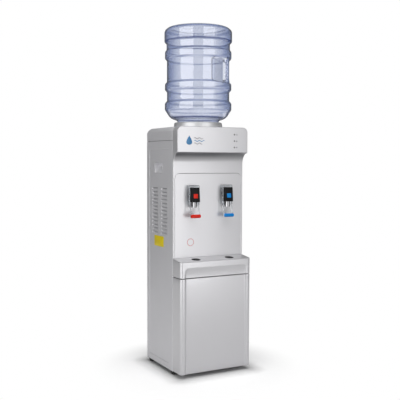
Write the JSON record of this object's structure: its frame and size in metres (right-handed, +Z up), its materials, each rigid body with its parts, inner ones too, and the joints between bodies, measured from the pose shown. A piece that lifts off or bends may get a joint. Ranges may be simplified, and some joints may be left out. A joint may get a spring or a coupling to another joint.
{
  "type": "bottled water dispenser",
  "caption": "Free-standing water dispenser with an inverted bottle, push taps, a sloped cup shelf and a storage cabinet below.",
  "frame": {"origin": "on the floor, below the centre of the casing", "axes": "+Z up, -Y towards the user in front, +X to the right as seen from the front"},
  "size_m": [0.31, 0.312, 1.3587],
  "materials": {
    "silver_plastic": "silver-grey moulding, satin",
    "painted_side": "grey powder coat",
    "dark_plastic": "dark grey, matt",
    "black_plastic": "black, glossy",
    "white_plastic": "white, satin",
    "chrome": "polished chrome plate",
    "stainless_steel": "brushed",
    "zinc_sheet": "galvanised sheet",
    "aluminium": "extruded, plain",
    "foam": "closed-cell foam",
    "ceramic": "plain white plates",
    "clear_plastic": "clear, polished",
    "blue_bottle": "clear blue polycarbonate",
    "silicone": "translucent hose",
    "red_plastic": "red, glossy",
    "blue_plastic": "blue, glossy",
    "lens": "tinted lens, unlit",
    "rubber": "black, matt"
  },
  "bodies": {
    "case": {"foot_front_left": "rubber", "foot_front_right": "rubber", "foot_rear_left": "rubber", "foot_rear_right": "rubber", "base_pan": "zinc_sheet", "cabinet_box": "white_plastic", "component_deck": "zinc_sheet", "left_side_panel": "painted_side", "right_side_panel": "painted_side", "rear_panel": "dark_plastic", "top_cover": "silver_plastic", "front_shell": "silver_plastic", "tray_housing": "silver_plastic", "drip_box": "dark_plastic", "hinge_pin_lower": "stainless_steel", "hinge_pin_upper": "stainless_steel", "door_magnet": "dark_plastic", "grip_cup_left": "silver_plastic", "grip_cup_right": "silver_plastic", "collar_ring": "silver_plastic", "bottle_receptacle": "white_plastic", "bottle_probe": "white_plastic", "lens_power": "lens", "lens_heating": "lens", "lens_cooling": "lens", "hot_tap_body": "chrome", "hot_tap_housing": "clear_plastic", "hot_tap_cap": "black_plastic", "hot_tap_marker": "red_plastic", "cold_tap_body": "chrome", "cold_tap_housing": "clear_plastic", "cold_tap_cap": "black_plastic", "cold_tap_marker": "blue_plastic", "cold_tank": "stainless_steel", "cold_tank_insulation": "foam", "thermoelectric_module": "ceramic", "heat_sink": "aluminium", "fan_frame": "black_plastic", "hot_tank": "stainless_steel", "heater_band": "zinc_sheet", "power_supply": "zinc_sheet", "cold_water_pipe": "silicone", "hot_water_pipe": "silicone", "hot_feed_pipe": "silicone", "drain_pipe": "stainless_steel", "power_gland": "rubber"},
    "door_body": {"door": "silver_plastic", "door_liner": "white_plastic"},
    "bottle_body": {"bottle": "blue_bottle"},
    "hot_lever_body": {"hot_lever": "clear_plastic", "hot_paddle": "red_plastic"},
    "cold_lever_body": {"cold_lever": "clear_plastic", "cold_paddle": "blue_plastic"},
    "fan_body": {"fan_rotor": "black_plastic"},
    "strainer_left_body": {"strainer_left": "dark_plastic"},
    "strainer_right_body": {"strainer_right": "dark_plastic"},
    "hot_switch_body": {"hot_switch": "black_plastic"},
    "cold_switch_body": {"cold_switch": "black_plastic"},
    "drain_cap_body": {"drain_cap": "dark_plastic"}
  },
  "joints": [
    {"name": "door_hinge", "type": "hinge", "parent": "case", "child": "door_body", "pos_m": [0.151, -0.0908, 0.0175], "axis": [0, 0, 1], "range_deg": [0, 95]},
    {"name": "bottle_lift", "type": "slide", "parent": "case", "child": "bottle_body", "axis": [0, 0, 1], "range_m": [0, 0.12]},
    {"name": "hot_lever_pivot", "type": "hinge", "parent": "case", "child": "hot_lever_body", "pos_m": [-0.074, -0.1045, 0.7225], "axis": [1, 0, 0], "range_deg": [0, 8], "stiffness_Nm_per_rad": 0.15},
    {"name": "cold_lever_pivot", "type": "hinge", "parent": "case", "child": "cold_lever_body", "pos_m": [0.074, -0.1045, 0.7225], "axis": [1, 0, 0], "range_deg": [0, 8], "stiffness_Nm_per_rad": 0.15},
    {"name": "fan_spin", "type": "hinge", "parent": "case", "child": "fan_body", "pos_m": [0, 0.1276, 0.8117], "axis": [0, 1, 0], "continuous": true},
    {"name": "strainer_lift_left", "type": "slide", "parent": "case", "child": "strainer_left_body", "axis": [0, 0, 1], "range_m": [0, 0.03]},
    {"name": "strainer_lift_right", "type": "slide", "parent": "case", "child": "strainer_right_body", "axis": [0, 0, 1], "range_m": [0, 0.03]},
    {"name": "hot_switch_rock", "type": "hinge", "parent": "case", "child": "hot_switch_body", "pos_m": [0.1, 0.1372, 0.625], "axis": [1, 0, 0], "range_deg": [0, 12]},
    {"name": "cold_switch_rock", "type": "hinge", "parent": "case", "child": "cold_switch_body", "pos_m": [0.1, 0.1372, 0.595], "axis": [1, 0, 0], "range_deg": [0, 12]},
    {"name": "drain_cap_pull", "type": "slide", "parent": "case", "child": "drain_cap_body", "axis": [0, 1, 0], "range_m": [0, 0.02]}
  ]
}
